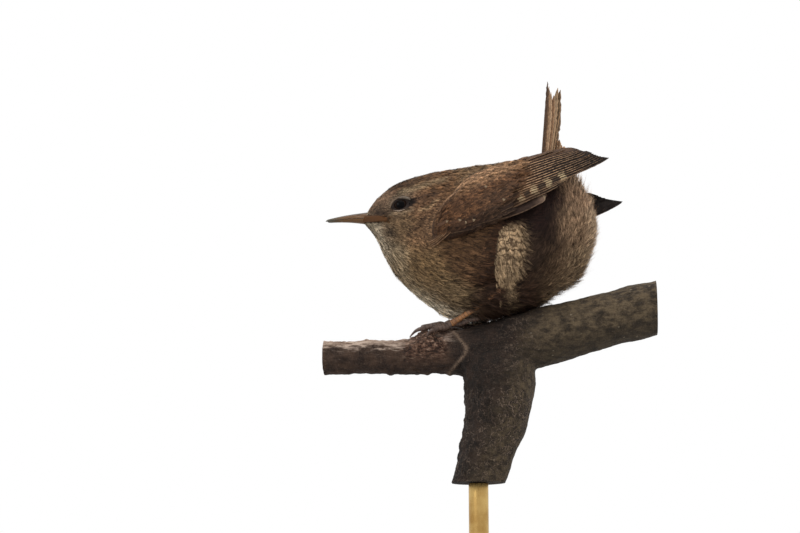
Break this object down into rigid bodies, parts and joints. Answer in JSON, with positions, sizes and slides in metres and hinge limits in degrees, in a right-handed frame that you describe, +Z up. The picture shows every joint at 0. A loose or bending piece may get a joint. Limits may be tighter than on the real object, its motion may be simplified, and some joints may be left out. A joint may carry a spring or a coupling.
{
  "type": "wren",
  "caption": "Life-size still model of a wren, tail cocked, crouched on a cut length of forked branch that a flat base and one rod hold up.",
  "frame": {"origin": "centre of the stand base's underside, on the surface that it stands on", "axes": "+Z up, +X towards the bird's tail end along the branch (the bird faces -X), -Y towards the bird's left side"},
  "size_m": [0.088, 0.088, 0.1448],
  "materials": {
    "crown_feathers": "short soft brown feathers, matt",
    "breast_feathers": "loose buff and grey-brown feathers with fine dark bars, matt",
    "flight_feathers": "stiff rufous-brown vanes with dark and pale bars, faint sheen",
    "bill_horn": "smooth horn, dark above and orange-brown below",
    "eye": "near-black, wet gloss",
    "leg_skin": "orange-brown scaled skin, low sheen",
    "claw": "dark grey-brown horn, low sheen",
    "bark": "rough flaking grey-brown bark, pale sawn ends",
    "stand_wood": "dark stained turned wood, satin",
    "stand_brass": "brushed brass rod"
  },
  "bodies": {
    "root": {"head": "crown_feathers", "neck": "crown_feathers", "breast": "breast_feathers", "trunk": "breast_feathers", "vent": "breast_feathers", "thigh_left": "breast_feathers", "thigh_right": "breast_feathers", "wing_left": "flight_feathers", "wing_right": "flight_feathers", "tail": "flight_feathers", "bill_upper": "bill_horn", "bill_lower": "bill_horn", "eye_left": "eye", "eye_right": "eye", "shank_left": "leg_skin", "shank_right": "leg_skin", "toe_left_1": "leg_skin", "toe_left_2": "leg_skin", "toe_left_3": "leg_skin", "toe_left_4": "leg_skin", "toe_right_1": "leg_skin", "toe_right_2": "leg_skin", "toe_right_3": "leg_skin", "toe_right_4": "leg_skin", "claw_left_1": "claw", "claw_left_2": "claw", "claw_left_3": "claw", "claw_left_4": "claw", "claw_right_1": "claw", "claw_right_2": "claw", "claw_right_3": "claw", "claw_right_4": "claw", "perch": "bark", "stand_base": "stand_wood", "stand_rod": "stand_brass"}
  },
  "joints": []
}
